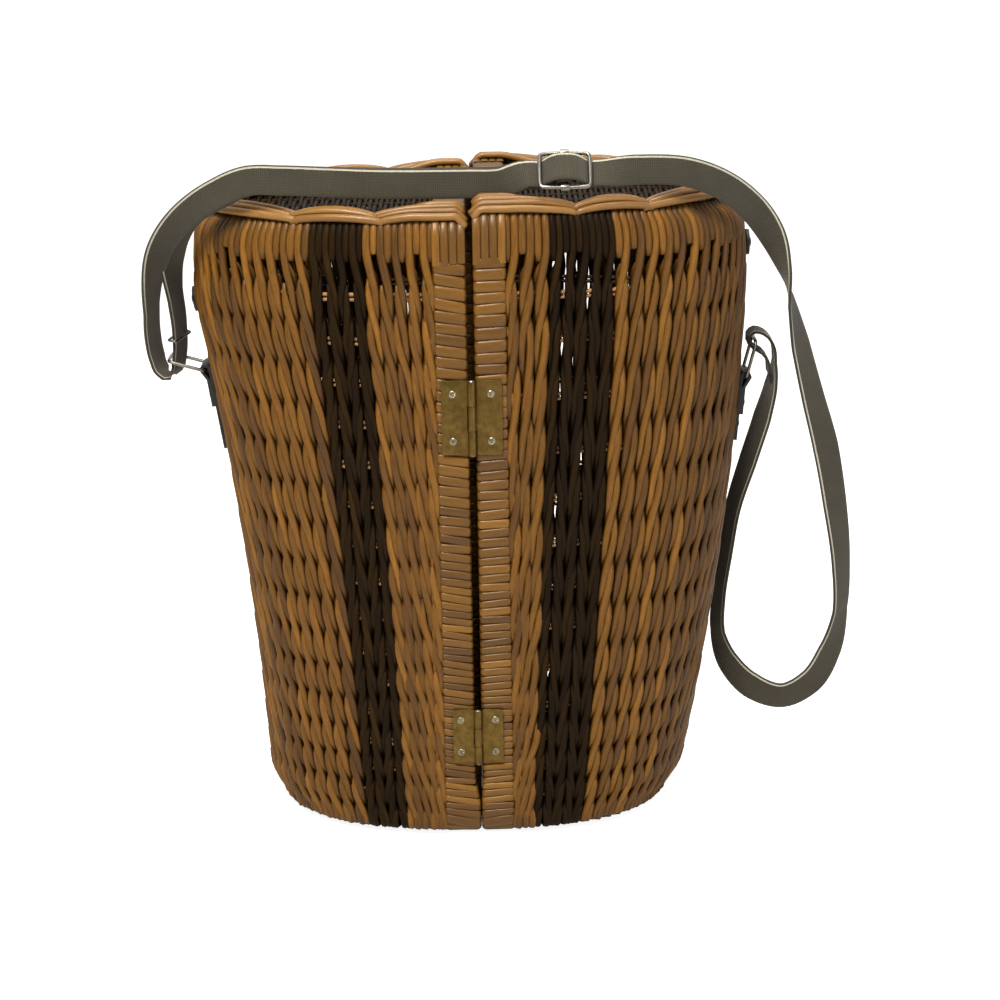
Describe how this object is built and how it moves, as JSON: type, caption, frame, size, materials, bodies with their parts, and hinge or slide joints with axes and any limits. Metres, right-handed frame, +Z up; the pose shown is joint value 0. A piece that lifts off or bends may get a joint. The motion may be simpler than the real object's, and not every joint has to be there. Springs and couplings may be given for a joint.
{
  "type": "wicker wine carrier",
  "caption": "Upright woven willow wine carrier: hinged half shells open like a book at the back, with cane-wrapped frames, leather closure and webbing shoulder strap.",
  "frame": {"origin": "middle of the base, on the plane where the two halves meet, at the height the carrier stands on", "axes": "+Z up, -Y towards the front with the hinges, +X towards the right half as seen from the front"},
  "size_m": [0.4493, 0.2115, 0.4277],
  "materials": {
    "woven_willow": "round brown willow rods, varnished, woven",
    "dark_willow": "stained dark willow rods, woven",
    "border_willow": "long round rods, varnished honey brown",
    "cane_wrap": "flat cane wrapped tightly over a stick",
    "hinge_metal": "plated butt hinge, tarnished",
    "pin_metal": "drawn wire, worn bright",
    "screw_metal": "plated raised-head screws, tarnished",
    "rivet_metal": "tubular rivet, nickel worn to brass",
    "stud_metal": "pressed stud, dull gilt",
    "wire_steel": "bent round wire, dull plated",
    "leather": "black saddle leather, waxed",
    "webbing": "woven cotton webbing, olive grey with one pale edge"
  },
  "bodies": {
    "left_half": {"left_woven_wall": "woven_willow", "left_dark_stripes": "dark_willow", "left_top_panel": "woven_willow", "left_rim_border": "border_willow", "left_hinge_screws": "screw_metal", "left_ring_tab": "leather", "left_tab_rivets": "rivet_metal", "left_neck_strap": "leather", "left_neck_strap_rivet": "rivet_metal", "left_neck_strap_washer": "leather", "left_neck_strap_stud": "stud_metal", "left_mouth_frame": "cane_wrap", "left_upper_hinge_leaf": "hinge_metal", "left_lower_hinge_leaf": "hinge_metal", "upper_hinge_pin": "pin_metal", "lower_hinge_pin": "pin_metal", "closure_tab": "leather", "closure_rivets": "rivet_metal", "strap_left_run": "webbing", "strap_keeper_loop": "wire_steel"},
    "right_half": {"right_woven_wall": "woven_willow", "right_dark_stripes": "dark_willow", "right_top_panel": "woven_willow", "right_rim_border": "border_willow", "right_hinge_screws": "screw_metal", "right_ring_tab": "leather", "right_tab_rivets": "rivet_metal", "right_neck_strap": "leather", "right_neck_strap_rivet": "rivet_metal", "right_neck_strap_washer": "leather", "right_neck_strap_stud": "stud_metal", "right_mouth_frame": "cane_wrap", "right_upper_hinge_leaf": "hinge_metal", "right_lower_hinge_leaf": "hinge_metal", "closure_stud_base": "stud_metal", "slide_frame": "wire_steel", "slide_bar": "wire_steel", "strap_right_run": "webbing", "strap_sewn_end": "webbing"},
    "left_ring": {"left_strap_ring": "wire_steel"},
    "right_ring": {"right_strap_ring": "wire_steel"},
    "closure_flap": {"closure_flap": "leather", "closure_stud_cap": "stud_metal"}
  },
  "joints": [
    {"name": "book_hinge", "type": "hinge", "parent": "left_half", "child": "right_half", "pos_m": [0, -0.1034, 0.17], "axis": [0, 0, -1], "range_deg": [0, 180]},
    {"name": "closure_bend", "type": "hinge", "parent": "left_half", "child": "closure_flap", "pos_m": [-0.007, 0.1039, 0.368], "axis": [0, 0, 1], "range_deg": [0, 150]},
    {"name": "left_ring_swing", "type": "hinge", "parent": "left_half", "child": "left_ring", "pos_m": [-0.16873, 0, 0.28242], "axis": [0, 1, 0], "range_deg": [-11, 6]},
    {"name": "right_ring_swing", "type": "hinge", "parent": "right_half", "child": "right_ring", "pos_m": [0.1727, 0, 0.27166], "axis": [0, -1, 0], "range_deg": [-20, 3]}
  ]
}
